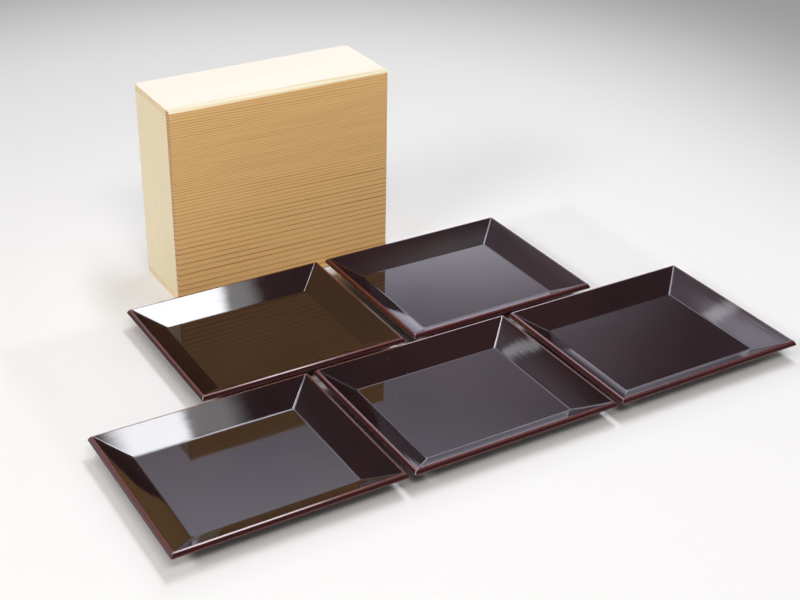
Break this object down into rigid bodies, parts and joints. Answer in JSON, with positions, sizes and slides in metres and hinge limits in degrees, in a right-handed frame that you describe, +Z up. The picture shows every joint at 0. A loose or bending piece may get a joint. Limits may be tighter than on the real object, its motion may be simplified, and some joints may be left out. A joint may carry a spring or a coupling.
{
  "type": "boxed set of lacquer trays",
  "caption": "Rectangular lacquer trays with flared, mitred sides laid out in two rows before their wooden storage box, which stands on its long side with a batten lid.",
  "frame": {"origin": "on the ground, in the middle of the set's footprint", "axes": "+X along the rows of trays to the right, +Y from the front row towards the box, +Z up"},
  "size_m": [0.557, 0.409, 0.1815],
  "materials": {
    "lacquer": "high-gloss dark brown lacquer over wood, reddish where it thins at the edges",
    "pale_wood": "bare, finely planed pale wood",
    "lid_wood": "bare, finely planed straight-grained softwood",
    "peg_wood": "bare split wood"
  },
  "bodies": {
    "box": {"box_lower_side": "pale_wood", "box_upper_side": "pale_wood", "box_left_end": "pale_wood", "box_right_end": "pale_wood", "box_bottom": "pale_wood"},
    "lid": {"lid_board": "lid_wood", "lid_left_batten": "lid_wood", "lid_right_batten": "lid_wood", "lid_left_peg_1": "peg_wood", "lid_right_peg_1": "peg_wood", "lid_left_peg_2": "peg_wood", "lid_right_peg_2": "peg_wood", "lid_left_peg_3": "peg_wood", "lid_right_peg_3": "peg_wood"},
    "tray_1": {"tray_1_floor": "lacquer", "tray_1_front_side": "lacquer", "tray_1_back_side": "lacquer", "tray_1_left_side": "lacquer", "tray_1_right_side": "lacquer", "tray_1_left_runner": "lacquer", "tray_1_right_runner": "lacquer"},
    "tray_2": {"tray_2_floor": "lacquer", "tray_2_front_side": "lacquer", "tray_2_back_side": "lacquer", "tray_2_left_side": "lacquer", "tray_2_right_side": "lacquer", "tray_2_left_runner": "lacquer", "tray_2_right_runner": "lacquer"},
    "tray_3": {"tray_3_floor": "lacquer", "tray_3_front_side": "lacquer", "tray_3_back_side": "lacquer", "tray_3_left_side": "lacquer", "tray_3_right_side": "lacquer", "tray_3_left_runner": "lacquer", "tray_3_right_runner": "lacquer"},
    "tray_4": {"tray_4_floor": "lacquer", "tray_4_front_side": "lacquer", "tray_4_back_side": "lacquer", "tray_4_left_side": "lacquer", "tray_4_right_side": "lacquer", "tray_4_left_runner": "lacquer", "tray_4_right_runner": "lacquer"},
    "tray_5": {"tray_5_floor": "lacquer", "tray_5_front_side": "lacquer", "tray_5_back_side": "lacquer", "tray_5_left_side": "lacquer", "tray_5_right_side": "lacquer", "tray_5_left_runner": "lacquer", "tray_5_right_runner": "lacquer"}
  },
  "joints": [
    {"name": "lid_off", "type": "slide", "parent": "box", "child": "lid", "axis": [0, -1, 0], "range_m": [0, 0.0135]},
    {"name": "tray_1_lift", "type": "slide", "parent": "box", "child": "tray_1", "axis": [0, 0, 1], "range_m": [0, 0.12]},
    {"name": "tray_2_lift", "type": "slide", "parent": "box", "child": "tray_2", "axis": [0, 0, 1], "range_m": [0, 0.12]},
    {"name": "tray_3_lift", "type": "slide", "parent": "box", "child": "tray_3", "axis": [0, 0, 1], "range_m": [0, 0.12]},
    {"name": "tray_4_lift", "type": "slide", "parent": "box", "child": "tray_4", "axis": [0, 0, 1], "range_m": [0, 0.12]},
    {"name": "tray_5_lift", "type": "slide", "parent": "box", "child": "tray_5", "axis": [0, 0, 1], "range_m": [0, 0.12]}
  ]
}
